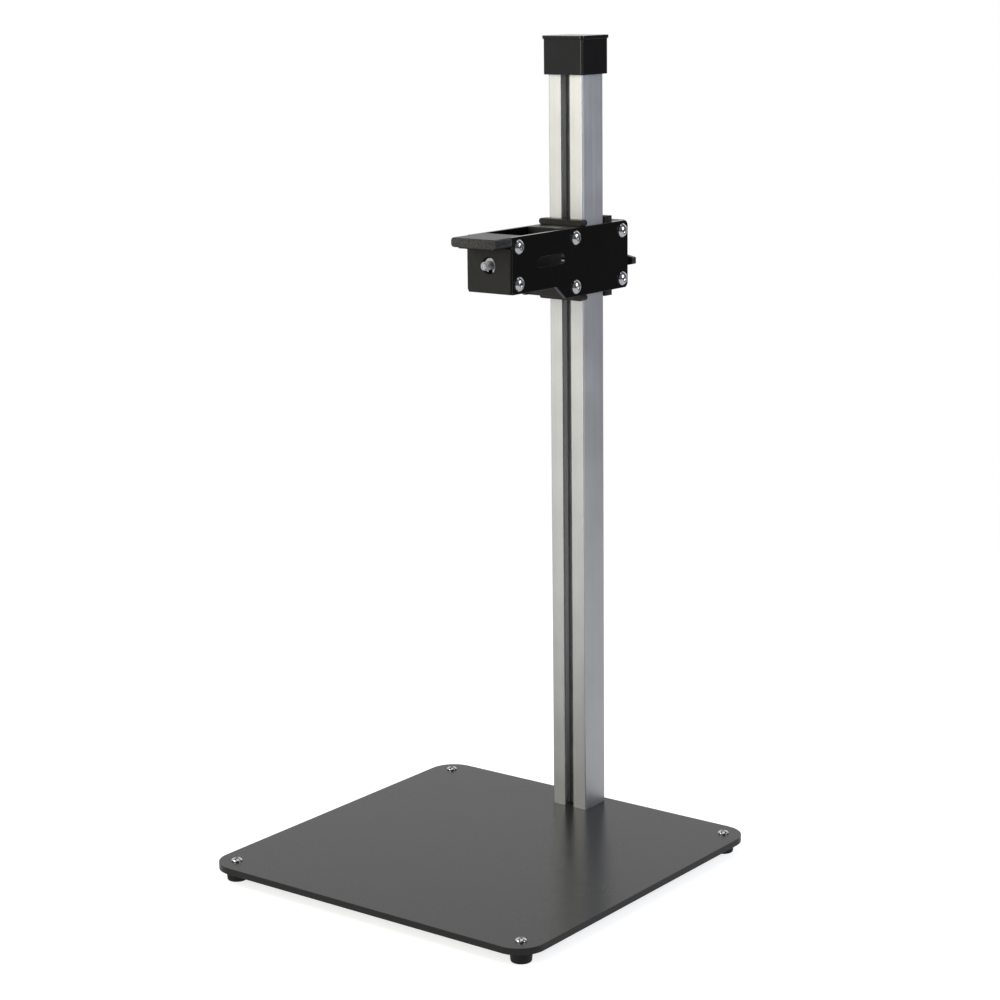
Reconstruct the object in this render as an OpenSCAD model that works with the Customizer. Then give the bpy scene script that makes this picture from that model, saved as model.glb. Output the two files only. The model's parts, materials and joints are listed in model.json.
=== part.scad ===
// Copy stand: a sheet baseboard on rubber feet, a slotted aluminium column, and a friction
// carriage whose arm holds the mounted body by its threaded socket, above the work surface.
// Millimetres. The origin is the centre of the work surface, which is the baseboard's top.
// +X is to the right, +Y towards the column, +Z up.

/* [Baseboard] */
// Width of the baseboard, left to right
base_w = 285; // [220:1:400]
// Depth of the baseboard, front to back
base_d = 280; // [220:1:400]
// Thickness of the baseboard
base_t = 4.8; // [4:0.1:10]
// Radius of the baseboard's corners
base_corner_r = 20; // [5:1:24]
// Distance from the column's back to the baseboard's rear edge
column_setback = 5.8; // [3:0.1:40]

/* [Feet] */
// Distance of a foot's centre from both edges
foot_inset = 15; // [11:0.5:30]
// Height of a rubber foot below the baseboard
foot_h = 9; // [6.5:0.5:20]
// Bevel round the bottom of a foot
foot_bevel = 0.5; // [0.2:0.1:0.7]
// Diameter of a foot at the baseboard
foot_top_d = 16; // [13:0.5:20]
// Diameter of a foot at the table
foot_bottom_d = 15.2; // [12:0.2:20]
// Thread diameter of the screw that holds a foot
foot_screw_d = 4; // [3:0.5:5]
// Length of the foot screw under its head
foot_screw_l = 10; // [8:0.5:12]
// Diameter of the foot screw's pan head
foot_head_d = 7.7; // [6:0.1:10]
// Height of the foot screw's pan head
foot_head_h = 2.5; // [1.8:0.1:3.5]
// Length of the cross recess in that head
foot_recess_l = 4.4; // [3:0.1:5]
// Width of the cross recess
foot_recess_w = 1; // [0.6:0.1:1.4]
// Depth of the cross recess
foot_recess_depth = 1.5; // [0.8:0.1:1.7]
// Thickness of rubber between the baseboard and the washer
foot_web = 2; // [1:0.1:2.4]
// Outer diameter of the washer inside a foot
foot_washer_d = 9; // [8.4:0.1:9.6]
// Thickness of that washer
foot_washer_t = 0.8; // [0.5:0.1:1]
// Width across flats of the nut inside a foot
foot_nut_af = 7; // [6:0.5:7.5]
// Height of that nut
foot_nut_h = 2.2; // [1.6:0.1:2.4]

/* [Column] */
// Width of the column
col_w = 30; // [28:0.5:50]
// Depth of the column
col_d = 26; // [24:0.5:50]
// Length of the column
col_h = 576; // [520:1:1200]
// Radius of the column's long edges
col_edge_r = 1.2; // [0.3:0.1:1.5]
// Width of the slot's mouth in the column's front
slot_mouth = 8; // [6:0.1:8.6]
// Thickness of the lips beside the slot's mouth
slot_lip = 2.2; // [1.6:0.1:3]
// Width of the slot behind its lips
slot_inner_w = 16; // [13:0.5:16.5]
// Depth of the slot from the column's front
slot_depth = 9; // [7:0.1:10]
// Bevel along the slot's bottom
slot_bevel = 2; // [0.5:0.1:2.4]
// Diameter of the screw ports in the column's corners
port_d = 4.5; // [3.5:0.1:4.6]
// Distance of a port's centre from the column's side
port_inset_x = 3.4; // [3.2:0.1:3.8]
// Distance of a port's centre from the column's front or back
port_inset_y = 4; // [3.4:0.1:4.4]
// Thickness of the column's inner and outer walls
col_wall = 1.5; // [1.2:0.1:1.8]
// Length of a column screw, head included
col_screw_l = 20; // [12:1:40]
// Diameter of a column screw's countersunk head
col_screw_head_d = 9.2; // [7:0.1:9.4]
// Width across flats of a column screw's hexagon socket
col_socket_af = 3; // [2:0.1:4]
// Depth of that socket
col_socket_depth = 1.6; // [1:0.1:2]

/* [Cap] */
// Height of the cap, its rim included
cap_h = 27.8; // [15:0.1:60]
// Thickness of the cap's top above the column
cap_top_t = 2.3; // [1:0.1:5]
// Thickness of the cap's left and right walls
cap_wall_x = 2.1; // [1:0.1:5]
// Thickness of the cap's front and back walls
cap_wall_y = 3; // [1:0.1:5]
// Height of the cap's rim
cap_rim_h = 2; // [1:0.1:4]
// How far the cap's rim stands out from its walls
cap_rim_out = 1; // [0.4:0.1:3]
// Radius of the cap's upright edges
cap_edge_r = 1.5; // [0.5:0.1:3]
// Gap between the cap and the column
cap_fit = 0.1; // [0.05:0.05:0.3]

/* [Carriage] */
// Height of the side plates' lower edge above the work surface
carriage_z = 394; // [20:1:470]
// Outer width of the arm
arm_w = 39; // [38:0.5:46]
// Thickness of a side plate
plate_t = 3; // [2:0.1:3]
// Height of a side plate at the column
plate_h = 49.5; // [44:0.5:70]
// How far the front of the arm's lower edge steps up
arm_step = 9.3; // [4:0.1:14]
// Length of the slanted part of that edge
arm_slant = 11.6; // [6:0.1:20]
// Distance from the front slide pad to that slanted part
arm_slant_gap = 21; // [19:0.5:30]
// Distance from the column's front to the side plates' front ends
arm_reach = 91; // [80:0.5:105]
// Distance from the column's back to the side plates' rear ends
arm_tail = 25; // [23:0.5:40]
// Radius of the side plates' rear corners
plate_corner_r = 4; // [1:0.5:6]
// Depth of the block that fills the arm in front of the column
front_block_d = 18; // [14:0.5:22]
// Depth of the block behind the column
rear_block_d = 15; // [12:0.5:15.5]
// Depth of the block at the front end of the arm
nose_block_d = 15; // [12:0.5:20]
// Width of the strap slot in each side plate
strap_slot_w = 7.2; // [5:0.1:10]
// Length of the strap slot
strap_slot_l = 32; // [16:0.5:34]
// Distance from the front block to the strap slot
strap_slot_gap = 4.6; // [3:0.1:8]

/* [Carriage bolts] */
// Thread diameter of the side plates' bolts
bolt_d = 6; // [4:0.5:6]
// Length of a bolt under its head
bolt_l = 16; // [10:0.5:16]
// Diameter of a bolt's button head
bolt_head_d = 10.2; // [8:0.1:11]
// Height of a bolt's button head
bolt_head_h = 3.3; // [2:0.1:4]
// Width across flats of a bolt's hexagon socket
bolt_socket_af = 4; // [2.5:0.1:5]
// Depth of that socket
bolt_socket_depth = 2; // [1:0.1:2.2]
// Length of a bolt's threaded hole past the bolt
bolt_hole_extra = 0.5; // [0.2:0.1:1]
// Distance of a bolt from the upper or lower edge
bolt_edge = 7.1; // [6:0.1:8]

/* [Slide pads] */
// Thickness of the front slide pad
pad_t = 6.1; // [4:0.1:10]
// How far the pads stand above and below the side plates
pad_proud = 4.5; // [2:0.1:8]
// Width of the front pad's lips over the side plates
pad_lip_w = 38.4; // [36:0.1:46]
// Radius of the ends of those lips
pad_lip_r = 2.2; // [0.5:0.1:2.2]
// How far those lips reach forward over the front block
pad_lip_overlap = 1; // [0.5:0.1:3]
// Depth of the pad's rib in the column's slot
pad_rib = 1.8; // [0.8:0.1:2]
// Thickness of the brake lining behind the column
lining_t = 3.7; // [2:0.1:3.8]
// Thickness of the brake plate that presses the lining
brake_plate_t = 5.2; // [4:0.1:5.3]
// Gap between a pad and the column
slide_gap = 0.1; // [0.05:0.05:0.3]
// Thickness of the glide strips between the side plates and the column
strip_t = 1.4; // [0.8:0.1:1.4]
// Depth of a glide strip
strip_d = 23; // [12:0.5:24]
// Distance of a glide strip's ends from the side plate's edges
strip_margin = 1.5; // [0.5:0.5:6]

/* [Lock] */
// Thread diameter of the lock screw
lock_d = 6; // [5:0.5:6]
// Depth of the lock screw's tip in the brake plate
lock_tip = 3; // [2:0.1:5]
// Distance of the lock screw below the middle of the side plates
lock_drop = 6.1; // [0:0.1:8]
// Span of the knob's two arms
lock_span = 40.4; // [30:0.2:48]
// Height of an arm at its tip
lock_arm_tip = 5.2; // [3:0.1:8]
// Height of an arm at the knob's middle
lock_arm_root = 13; // [9:0.1:14]
// Radius of an arm's corners
lock_arm_r = 0.8; // [0.2:0.1:1.5]
// Thickness of the arms along the screw
lock_arm_t = 4.5; // [3:0.1:7]
// Diameter of the knob's hub
lock_hub_d = 14; // [12:0.5:20]
// Length of the knob's hub
lock_hub_l = 10.5; // [9:0.5:20]
// Distance from the knob's arms to the outer end of the hub
lock_arm_back = 1.8; // [0.5:0.1:4]
// Thickness of the hub's closed end
lock_hub_end = 2; // [1:0.5:4]
// Distance from the rear block to the knob
lock_stand_off = 1.3; // [1:0.1:8]
// Turn of the knob's arms from level
lock_angle = 0; // [0:1:90]

/* [Mounting end] */
// Length of the nose in front of the side plates
nose_reach = 19; // [10:0.5:30]
// Thickness of the nose
nose_t = 6.8; // [5.5:0.1:9]
// Radius of the nose's long edges
nose_r = 2.4; // [0.5:0.1:2.7]
// Width of the rubber strip under the nose
nose_pad_w = 30; // [20:0.5:34]
// Distance of that strip from the nose's ends
nose_pad_margin = 2.5; // [0.5:0.5:5]
// Thickness of the rubber strip under the nose
nose_pad_t = 1; // [0.5:0.1:2.5]
// Thickness of the rubber face that the mounted body meets
face_pad_t = 2; // [1:0.1:4]
// Gap between that rubber face and the nose block's edges
face_pad_margin = 0.8; // [0.2:0.1:3]
// Radius of the rubber face's corners
face_pad_r = 2; // [0.5:0.5:5]
// Major diameter of the 1/4-20 mount screw
mount_screw_d = 6.35; // [5:0.01:6.5]
// Length of mount screw that stands out of the rubber face
mount_screw_out = 5.5; // [3:0.1:8]
// Distance from the arm's top to the mount screw
mount_screw_drop = 20.5; // [18:0.1:24]
// Width of the relief groove behind the mount screw's free end
mount_relief_w = 1.2; // [0.8:0.1:1.4]
// Diameter of the mount screw's knob
mount_knob_d = 24; // [18:0.5:28]
// Length of the mount screw's knob
mount_knob_l = 12; // [8:0.5:14]
// Number of grooves round that knob
mount_knob_grooves = 24; // [12:1:30]
// Width of a groove
mount_groove_w = 2.2; // [0.8:0.1:2.4]
// Width and half the depth of the coin slot in that knob's end
mount_coin_w = 2; // [1:0.1:2.5]
// Thickness of the knob's closed end, its coin slot included
mount_knob_end = 3; // [2.5:0.1:4]
// Diameter of the nylon washer under that knob
mount_washer_d = 16; // [12:0.5:18]
// Thickness of that washer
mount_washer_t = 0.8; // [0.5:0.1:1.5]
// Outer diameter of the clip that keeps the mount screw in the arm
clip_d = 10.6; // [9:0.1:12]
// Thickness of that clip
clip_t = 0.8; // [0.5:0.1:1.2]
// Width of the clip's open side
clip_mouth = 3.6; // [2.5:0.1:4.4]
// Depth of the clip's groove in the mount screw
clip_groove = 0.65; // [0.3:0.05:1]
// Gap round and behind the clip in its pocket
clip_room = 0.6; // [0.3:0.1:1]

/* [Hidden] */
$fn = 48;
// Gap between a thread and the hole it is screwed into
thread_gap = 0.05;
// Gap round a screw that passes through a hole
screw_gap = 0.2;
// Gap round a shaft that turns or slides
run_gap = 0.06;
// Gap between the lock screw's tip and the bottom of its hole
tip_gap = 0.1;
// Gap beside the clip in its groove
clip_gap = 0.05;
// Gap on each side of the washer under the mount screw's knob
washer_gap = 0.1;
// Gap beside a piece that is bolted between the side plates
block_gap = 0.05;
// Gap beside a loosely held pad
pad_gap = 0.3;
// Height of the straight rim under a domed screw head
head_rim_h = 0.6;
// Extra length of a cutting shape past a face
cut = 1;

// Places along Y
col_back_y = base_d / 2 - column_setback;
col_cy = col_back_y - col_d / 2;
col_front_y = col_back_y - col_d;
pad_back_y = col_front_y - slide_gap;
pad_front_y = pad_back_y - pad_t;
front_block_y = pad_front_y - front_block_d;
arm_front_y = col_front_y - arm_reach;
arm_rear_y = col_back_y + arm_tail;
rear_block_y = arm_rear_y - rear_block_d;
lining_y = col_back_y + slide_gap;
brake_plate_y = lining_y + lining_t;
brake_back_y = brake_plate_y + brake_plate_t;
nose_front_y = arm_front_y - nose_reach;
mount_face_y = arm_front_y - face_pad_t;
// Places along Z
base_bottom_z = -base_t;
floor_z = base_bottom_z - foot_h;
arm_top_z = carriage_z + plate_h;
arm_low_z = carriage_z + arm_step;
lock_z = carriage_z + plate_h / 2 - lock_drop;
mount_z = arm_top_z - mount_screw_drop;
nose_low_z = arm_top_z - nose_t;
cap_low_z = col_h + cap_top_t - cap_h;
// Widths
inner_w = arm_w - 2 * plate_t;
block_w = inner_w - 2 * block_gap;
// Bolt places on a side plate, as [y, z]
bolt_places = [
    [arm_front_y + nose_block_d / 2, arm_top_z - bolt_edge],
    [arm_front_y + nose_block_d / 2, arm_low_z + bolt_edge],
    [front_block_y + front_block_d / 2, arm_top_z - bolt_edge],
    [front_block_y + front_block_d / 2, carriage_z + bolt_edge],
    [rear_block_y + rear_block_d / 2, arm_top_z - bolt_edge],
    [rear_block_y + rear_block_d / 2, carriage_z + bolt_edge]
];
// Strap slot, from its rear end to its front end
strap_rear_y = front_block_y - strap_slot_gap;
strap_front_y = strap_rear_y - strap_slot_l;
// Mount screw
mount_neck_d = mount_screw_d - 2 * clip_groove;
mount_bore_d = mount_screw_d + 2 * run_gap;
mount_pocket_d = clip_d + 2 * clip_room;
mount_clip_y = arm_front_y + clip_room / 2;
mount_pocket_l = mount_screw_out + clip_t + 1.5 * clip_room;
mount_washer_y = arm_front_y + nose_block_d + washer_gap;
mount_knob_y = mount_washer_y + mount_washer_t + washer_gap;

// Flat shapes

module rounded_rect(w, d, r) {
    square([w - 2 * r, d], center = true);
    square([w, d - 2 * r], center = true);
    for (x = [-1, 1])
        for (y = [-1, 1])
            translate([x * (w / 2 - r), y * (d / 2 - r)]) circle(r);
}

// The column's section, with its front facing -Y
module column_section() {
    slot_front = -col_d / 2;
    inner_y = slot_front + slot_lip;
    floor_y = slot_front + slot_depth;
    chamber_front = floor_y + col_wall;
    chamber_back = col_d / 2 - col_wall;
    port_x = col_w / 2 - port_inset_x;
    chamber_w = 2 * (port_x - port_d / 2 - col_wall);
    side_x = slot_inner_w / 2 + col_wall;
    side_w = col_w / 2 - col_wall - side_x;
    side_d = col_d - 2 * (port_inset_y + port_d / 2 + col_wall);
    difference() {
        rounded_rect(col_w, col_d, col_edge_r);
        translate([-slot_mouth / 2, slot_front - cut]) square([slot_mouth, slot_lip + 2 * cut]);
        polygon([
            [-slot_inner_w / 2, inner_y],
            [slot_inner_w / 2, inner_y],
            [slot_inner_w / 2, floor_y - slot_bevel],
            [slot_inner_w / 2 - slot_bevel, floor_y],
            [slot_bevel - slot_inner_w / 2, floor_y],
            [-slot_inner_w / 2, floor_y - slot_bevel]
        ]);
        for (x = [-1, 1])
            for (y = [-1, 1])
                translate([x * port_x, y * (col_d / 2 - port_inset_y)]) circle(d = port_d);
        translate([-chamber_w / 2, chamber_front]) square([chamber_w, chamber_back - chamber_front]);
        for (x = [-1, 1])
            translate([x * (side_x + side_w / 2), 0]) square([side_w, side_d], center = true);
    }
}

// A side plate's outline, as [y, z]
module side_plate_outline() {
    r = plate_corner_r;
    slant_y = pad_front_y - arm_slant_gap;
    difference() {
        union() {
            polygon([
                [arm_front_y, arm_low_z],
                [slant_y - arm_slant, arm_low_z],
                [slant_y, carriage_z],
                [arm_rear_y - r, carriage_z],
                [arm_rear_y - r, arm_top_z],
                [arm_front_y, arm_top_z]
            ]);
            translate([arm_rear_y - r - cut, carriage_z + r]) square([r + cut, plate_h - 2 * r]);
            translate([arm_rear_y - r, carriage_z + r]) circle(r);
            translate([arm_rear_y - r, arm_top_z - r]) circle(r);
        }
        for (place = bolt_places)
            translate(place) circle(d = bolt_d + 2 * screw_gap);
        strap_slot_outline();
    }
}

// The strap slot, with round ends
module strap_slot_outline() {
    r = strap_slot_w / 2;
    translate([strap_front_y + r, mount_z - r]) square([strap_slot_l - strap_slot_w, strap_slot_w]);
    for (y = [strap_front_y + r, strap_rear_y - r])
        translate([y, mount_z]) circle(r);
}

// Directions: the child's +Z is turned to the axis in the name

module along_x() {
    rotate([90, 0, 90]) children();
}

module along_y() {
    rotate([-90, 0, 0]) children();
}

// A domed screw head with its flat side at z = 0
module dome(d, h) {
    crown_h = h - head_rim_h;
    crown_r = (d * d / 4 + crown_h * crown_h) / (2 * crown_h);
    rotate_extrude()
        intersection() {
            square([d / 2, h]);
            union() {
                square([d / 2, head_rim_h]);
                translate([0, h - crown_r]) circle(crown_r);
            }
        }
}

module hex_socket(af, depth) {
    cylinder(d = af / cos(30), h = depth, $fn = 6);
}

// Places of the four feet
module at_feet() {
    for (x = [-1, 1])
        for (y = [-1, 1])
            translate([x * (base_w / 2 - foot_inset), y * (base_d / 2 - foot_inset), 0]) children();
}

// Places of the four ports in the column
module at_ports() {
    for (x = [-1, 1])
        for (y = [-1, 1])
            translate([
                x * (col_w / 2 - port_inset_x),
                col_cy + y * (col_d / 2 - port_inset_y),
                0
            ]) children();
}

// Baseboard and feet

module base_plate() {
    head_h = (col_screw_head_d - port_d) / 2;
    wide_d = col_screw_head_d + 2 * screw_gap;
    color("#5b5c5e")
        difference() {
            translate([0, 0, base_bottom_z])
                linear_extrude(base_t) rounded_rect(base_w, base_d, base_corner_r);
            at_feet()
                translate([0, 0, base_bottom_z - cut])
                    cylinder(d = foot_screw_d + 2 * screw_gap, h = base_t + 2 * cut);
            at_ports() {
                translate([0, 0, base_bottom_z - cut])
                    cylinder(d = port_d + 2 * screw_gap, h = base_t + 2 * cut);
                translate([0, 0, base_bottom_z]) {
                    cylinder(d1 = wide_d, d2 = port_d + 2 * screw_gap, h = head_h);
                    translate([0, 0, -cut]) cylinder(d = wide_d, h = cut);
                }
            }
        }
}

module rubber_feet() {
    pocket_d = max(foot_washer_d, foot_nut_af / cos(30)) + 2 * screw_gap;
    color("#1a1a1b")
        at_feet()
            difference() {
                translate([0, 0, floor_z])
                    rotate_extrude()
                        polygon([
                            [0, 0],
                            [foot_bottom_d / 2 - foot_bevel, 0],
                            [foot_bottom_d / 2, foot_bevel],
                            [foot_top_d / 2, foot_h],
                            [0, foot_h]
                        ]);
                translate([0, 0, floor_z - cut])
                    cylinder(d = foot_screw_d + 2 * screw_gap, h = foot_h + 2 * cut);
                translate([0, 0, floor_z - cut])
                    cylinder(d = pocket_d, h = foot_h - foot_web + cut);
            }
}

module foot_screws() {
    recess = [foot_recess_l, foot_recess_w, foot_recess_depth + cut];
    color("#c9cbce")
        at_feet() {
            difference() {
                dome(foot_head_d, foot_head_h);
                for (turn = [20, 110])
                    translate([0, 0, foot_head_h + (cut - foot_recess_depth) / 2])
                        rotate([0, 0, turn]) cube(recess, center = true);
            }
            translate([0, 0, -foot_screw_l])
                cylinder(d = foot_screw_d - 2 * thread_gap, h = foot_screw_l);
        }
}

module foot_washers() {
    color("#b5b7ba")
        at_feet()
            translate([0, 0, base_bottom_z - foot_web - foot_washer_t])
                difference() {
                    cylinder(d = foot_washer_d, h = foot_washer_t);
                    translate([0, 0, -cut])
                        cylinder(d = foot_screw_d + 2 * screw_gap, h = foot_washer_t + 2 * cut);
                }
}

module foot_nuts() {
    color("#b5b7ba")
        at_feet()
            translate([0, 0, base_bottom_z - foot_web - foot_washer_t - foot_nut_h])
                difference() {
                    cylinder(d = foot_nut_af / cos(30), h = foot_nut_h, $fn = 6);
                    translate([0, 0, -cut])
                        cylinder(d = foot_screw_d, h = foot_nut_h + 2 * cut);
                }
}

// Column

module column() {
    color("#c3c4c6")
        translate([0, col_cy, 0]) linear_extrude(col_h) column_section();
}

module column_screws() {
    head_h = (col_screw_head_d - port_d) / 2;
    color("#8b8d90")
        at_ports()
            translate([0, 0, base_bottom_z])
                difference() {
                    union() {
                        cylinder(d1 = col_screw_head_d, d2 = port_d - 2 * thread_gap, h = head_h);
                        cylinder(d = port_d - 2 * thread_gap, h = col_screw_l);
                    }
                    translate([0, 0, -cut]) hex_socket(col_socket_af, col_socket_depth + cut);
                }
}

module column_cap() {
    body_w = col_w + 2 * (cap_fit + cap_wall_x);
    body_d = col_d + 2 * (cap_fit + cap_wall_y);
    color("#1d1d1f")
        translate([0, col_cy, cap_low_z])
            difference() {
                union() {
                    linear_extrude(cap_h) rounded_rect(body_w, body_d, cap_edge_r);
                    translate([0, 0, cap_h - cap_rim_h])
                        linear_extrude(cap_rim_h)
                            rounded_rect(
                                body_w + 2 * cap_rim_out,
                                body_d + 2 * cap_rim_out,
                                cap_edge_r + cap_rim_out
                            );
                }
                translate([0, 0, (cap_h - cap_top_t - cut) / 2])
                    cube([
                        col_w + 2 * cap_fit,
                        col_d + 2 * cap_fit,
                        cap_h - cap_top_t + cut
                    ], center = true);
            }
}

// Arm

module side_plate() {
    translate([inner_w / 2, 0, 0]) along_x() linear_extrude(plate_t) side_plate_outline();
}

module right_side_plate() {
    color("#0d0d0e") side_plate();
}

module left_side_plate() {
    color("#0d0d0e") mirror([1, 0, 0]) side_plate();
}

module plate_bolts() {
    for (place = bolt_places)
        translate([arm_w / 2, place[0], place[1]])
            along_x() {
                difference() {
                    dome(bolt_head_d, bolt_head_h);
                    translate([0, 0, bolt_head_h - bolt_socket_depth])
                        hex_socket(bolt_socket_af, bolt_socket_depth + cut);
                }
                translate([0, 0, -bolt_l]) cylinder(d = bolt_d - 2 * thread_gap, h = bolt_l);
            }
}

module right_plate_bolts() {
    color("#d3d5d8") plate_bolts();
}

module left_plate_bolts() {
    color("#d3d5d8") mirror([1, 0, 0]) plate_bolts();
}

// The threaded holes that the bolts reach, cut from both sides of a block
module bolt_holes(first, last) {
    depth = bolt_l - plate_t + bolt_hole_extra;
    for (i = [first:last])
        for (side = [-1, 1])
            translate([side * (block_w / 2 - depth / 2 + cut / 2), bolt_places[i][0], bolt_places[i][1]])
                along_x() cylinder(d = bolt_d, h = depth + cut, center = true);
}

module arm_block(y, d, low_z) {
    translate([-block_w / 2, y, low_z]) cube([block_w, d, arm_top_z - low_z]);
}

module nose_block() {
    color("#2c2c2e")
        difference() {
            union() {
                arm_block(arm_front_y, nose_block_d, arm_low_z);
                translate([0, nose_front_y, (arm_top_z + nose_low_z) / 2])
                    along_y() linear_extrude(nose_reach) rounded_rect(arm_w, nose_t, nose_r);
            }
            bolt_holes(0, 1);
            translate([0, arm_front_y - cut, mount_z])
                along_y() cylinder(d = mount_bore_d, h = nose_block_d + 2 * cut);
            translate([0, arm_front_y - cut, mount_z])
                along_y() cylinder(d = mount_pocket_d, h = mount_pocket_l + cut);
        }
}

module nose_pad() {
    pad_d = nose_reach - face_pad_t - 2 * nose_pad_margin;
    color("#161617")
        translate([-nose_pad_w / 2, nose_front_y + nose_pad_margin, nose_low_z - nose_pad_t])
            cube([nose_pad_w, pad_d, nose_pad_t]);
}

module mount_face_pad() {
    low_z = arm_low_z + face_pad_margin;
    high_z = nose_low_z - face_pad_margin;
    color("#161617")
        difference() {
            translate([0, mount_face_y, (low_z + high_z) / 2])
                along_y()
                    linear_extrude(face_pad_t)
                        rounded_rect(arm_w - 2 * face_pad_margin, high_z - low_z, face_pad_r);
            translate([0, mount_face_y - cut, mount_z])
                along_y() cylinder(d = mount_pocket_d, h = face_pad_t + 2 * cut);
        }
}

module front_block() {
    color("#1b1b1d")
        difference() {
            arm_block(front_block_y, front_block_d, carriage_z);
            bolt_holes(2, 3);
        }
}

module rear_block() {
    color("#1b1b1d")
        difference() {
            arm_block(rear_block_y, rear_block_d, carriage_z);
            bolt_holes(4, 5);
            translate([0, rear_block_y - cut, lock_z])
                along_y() cylinder(d = lock_d, h = rear_block_d + 2 * cut);
        }
}

// Slide pads

module front_slide_pad() {
    web_w = inner_w - 2 * pad_gap;
    lip_d = pad_t + pad_lip_overlap;
    color("#3a3a3c") {
        translate([-web_w / 2, pad_front_y, carriage_z]) cube([web_w, pad_t, plate_h]);
        for (z = [carriage_z - pad_proud / 2, arm_top_z + pad_proud / 2])
            translate([0, pad_back_y - lip_d, z])
                along_y() linear_extrude(lip_d) rounded_rect(pad_lip_w, pad_proud, pad_lip_r);
        translate([-slot_mouth / 2 + pad_gap / 2, pad_back_y, carriage_z - pad_proud])
            cube([slot_mouth - pad_gap, pad_rib, plate_h + 2 * pad_proud]);
    }
}

module glide_strip() {
    translate([inner_w / 2 - strip_t, col_cy - strip_d / 2, carriage_z + strip_margin])
        cube([strip_t, strip_d, plate_h - 2 * strip_margin]);
}

module right_glide_strip() {
    color("#e4e2da") glide_strip();
}

module left_glide_strip() {
    color("#e4e2da") mirror([1, 0, 0]) glide_strip();
}

module brake_slab(y, t) {
    pad_w = inner_w - 2 * pad_gap;
    translate([-pad_w / 2, y, carriage_z - pad_proud]) cube([pad_w, t, plate_h + 2 * pad_proud]);
}

module brake_lining() {
    color("#161617") brake_slab(lining_y, lining_t);
}

module brake_plate() {
    color("#3a3a3c")
        difference() {
            brake_slab(brake_plate_y, brake_plate_t);
            translate([0, brake_back_y - lock_tip, lock_z])
                along_y() cylinder(d = lock_d + 2 * run_gap, h = lock_tip + cut);
        }
}

// Lock

module lock_screw() {
    tip_y = brake_back_y - lock_tip + tip_gap;
    end_y = arm_rear_y + lock_stand_off + lock_hub_l - lock_hub_end;
    color("#9fa1a4")
        translate([0, tip_y, lock_z])
            along_y() cylinder(d = lock_d - 2 * thread_gap, h = end_y - tip_y);
}

module lock_knob() {
    hub_y = arm_rear_y + lock_stand_off;
    arm_y = hub_y + lock_hub_l - lock_arm_back - lock_arm_t;
    tip_x = lock_span / 2;
    tip_z = lock_arm_tip / 2;
    corner_x = tip_x - lock_arm_r;
    corner_z = tip_z - lock_arm_r;
    color("#19191a")
        difference() {
            translate([0, 0, lock_z])
                rotate([0, lock_angle, 0]) {
                    translate([0, hub_y, 0]) along_y() cylinder(d = lock_hub_d, h = lock_hub_l);
                    translate([0, arm_y, 0])
                        along_y()
                            linear_extrude(lock_arm_t) {
                                for (side = [-1, 1]) {
                                    polygon([
                                        [0, -lock_arm_root / 2],
                                        [side * corner_x, -tip_z],
                                        [side * tip_x, -corner_z],
                                        [side * tip_x, corner_z],
                                        [side * corner_x, tip_z],
                                        [0, lock_arm_root / 2]
                                    ]);
                                    for (z = [-corner_z, corner_z])
                                        translate([side * corner_x, z]) circle(lock_arm_r);
                                }
                            }
                }
            translate([0, hub_y - cut, lock_z])
                along_y() cylinder(d = lock_d - 2 * thread_gap, h = lock_hub_l - lock_hub_end + cut);
        }
}

// Mount screw

module mount_screw() {
    tip_y = mount_face_y - mount_screw_out;
    end_y = mount_knob_y + mount_knob_l - mount_knob_end;
    color("#a9abae")
        translate([0, 0, mount_z])
            difference() {
                translate([0, tip_y, 0]) along_y() cylinder(d = mount_screw_d, h = end_y - tip_y);
                translate([0, mount_face_y, 0]) neck_cut(mount_relief_w);
                translate([0, mount_clip_y - clip_gap, 0]) neck_cut(clip_t + 2 * clip_gap);
            }
}

// What is turned away to leave a neck of this width
module neck_cut(w) {
    along_y()
        difference() {
            cylinder(d = mount_screw_d + cut, h = w);
            translate([0, 0, -cut]) cylinder(d = mount_neck_d, h = w + 2 * cut);
        }
}

module mount_screw_knob() {
    color("#19191a")
        difference() {
            translate([0, mount_knob_y, mount_z])
                along_y()
                    difference() {
                        cylinder(d = mount_knob_d, h = mount_knob_l);
                        for (i = [0:mount_knob_grooves - 1])
                            rotate([0, 0, i * 360 / mount_knob_grooves])
                                translate([mount_knob_d / 2 + mount_groove_w / 5, 0, -cut])
                                    cylinder(d = mount_groove_w, h = mount_knob_l + 2 * cut, $fn = 16);
                        translate([0, 0, mount_knob_l])
                            cube([mount_knob_d + cut, mount_coin_w, 2 * mount_coin_w], center = true);
                    }
            translate([0, mount_knob_y - cut, mount_z])
                along_y() cylinder(d = mount_screw_d, h = mount_knob_l - mount_knob_end + cut);
        }
}

module mount_screw_clip() {
    color("#77797c")
        translate([0, mount_clip_y, mount_z])
            along_y()
                difference() {
                    cylinder(d = clip_d, h = clip_t);
                    translate([0, 0, -cut])
                        cylinder(d = mount_neck_d + 2 * clip_gap, h = clip_t + 2 * cut);
                    translate([-clip_mouth / 2, 0, -cut]) cube([clip_mouth, clip_d, clip_t + 2 * cut]);
                }
}

module mount_screw_washer() {
    color("#e8e6de")
        translate([0, mount_washer_y, mount_z])
            along_y()
                difference() {
                    cylinder(d = mount_washer_d, h = mount_washer_t);
                    translate([0, 0, -cut])
                        cylinder(d = mount_bore_d, h = mount_washer_t + 2 * cut);
                }
}

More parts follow.
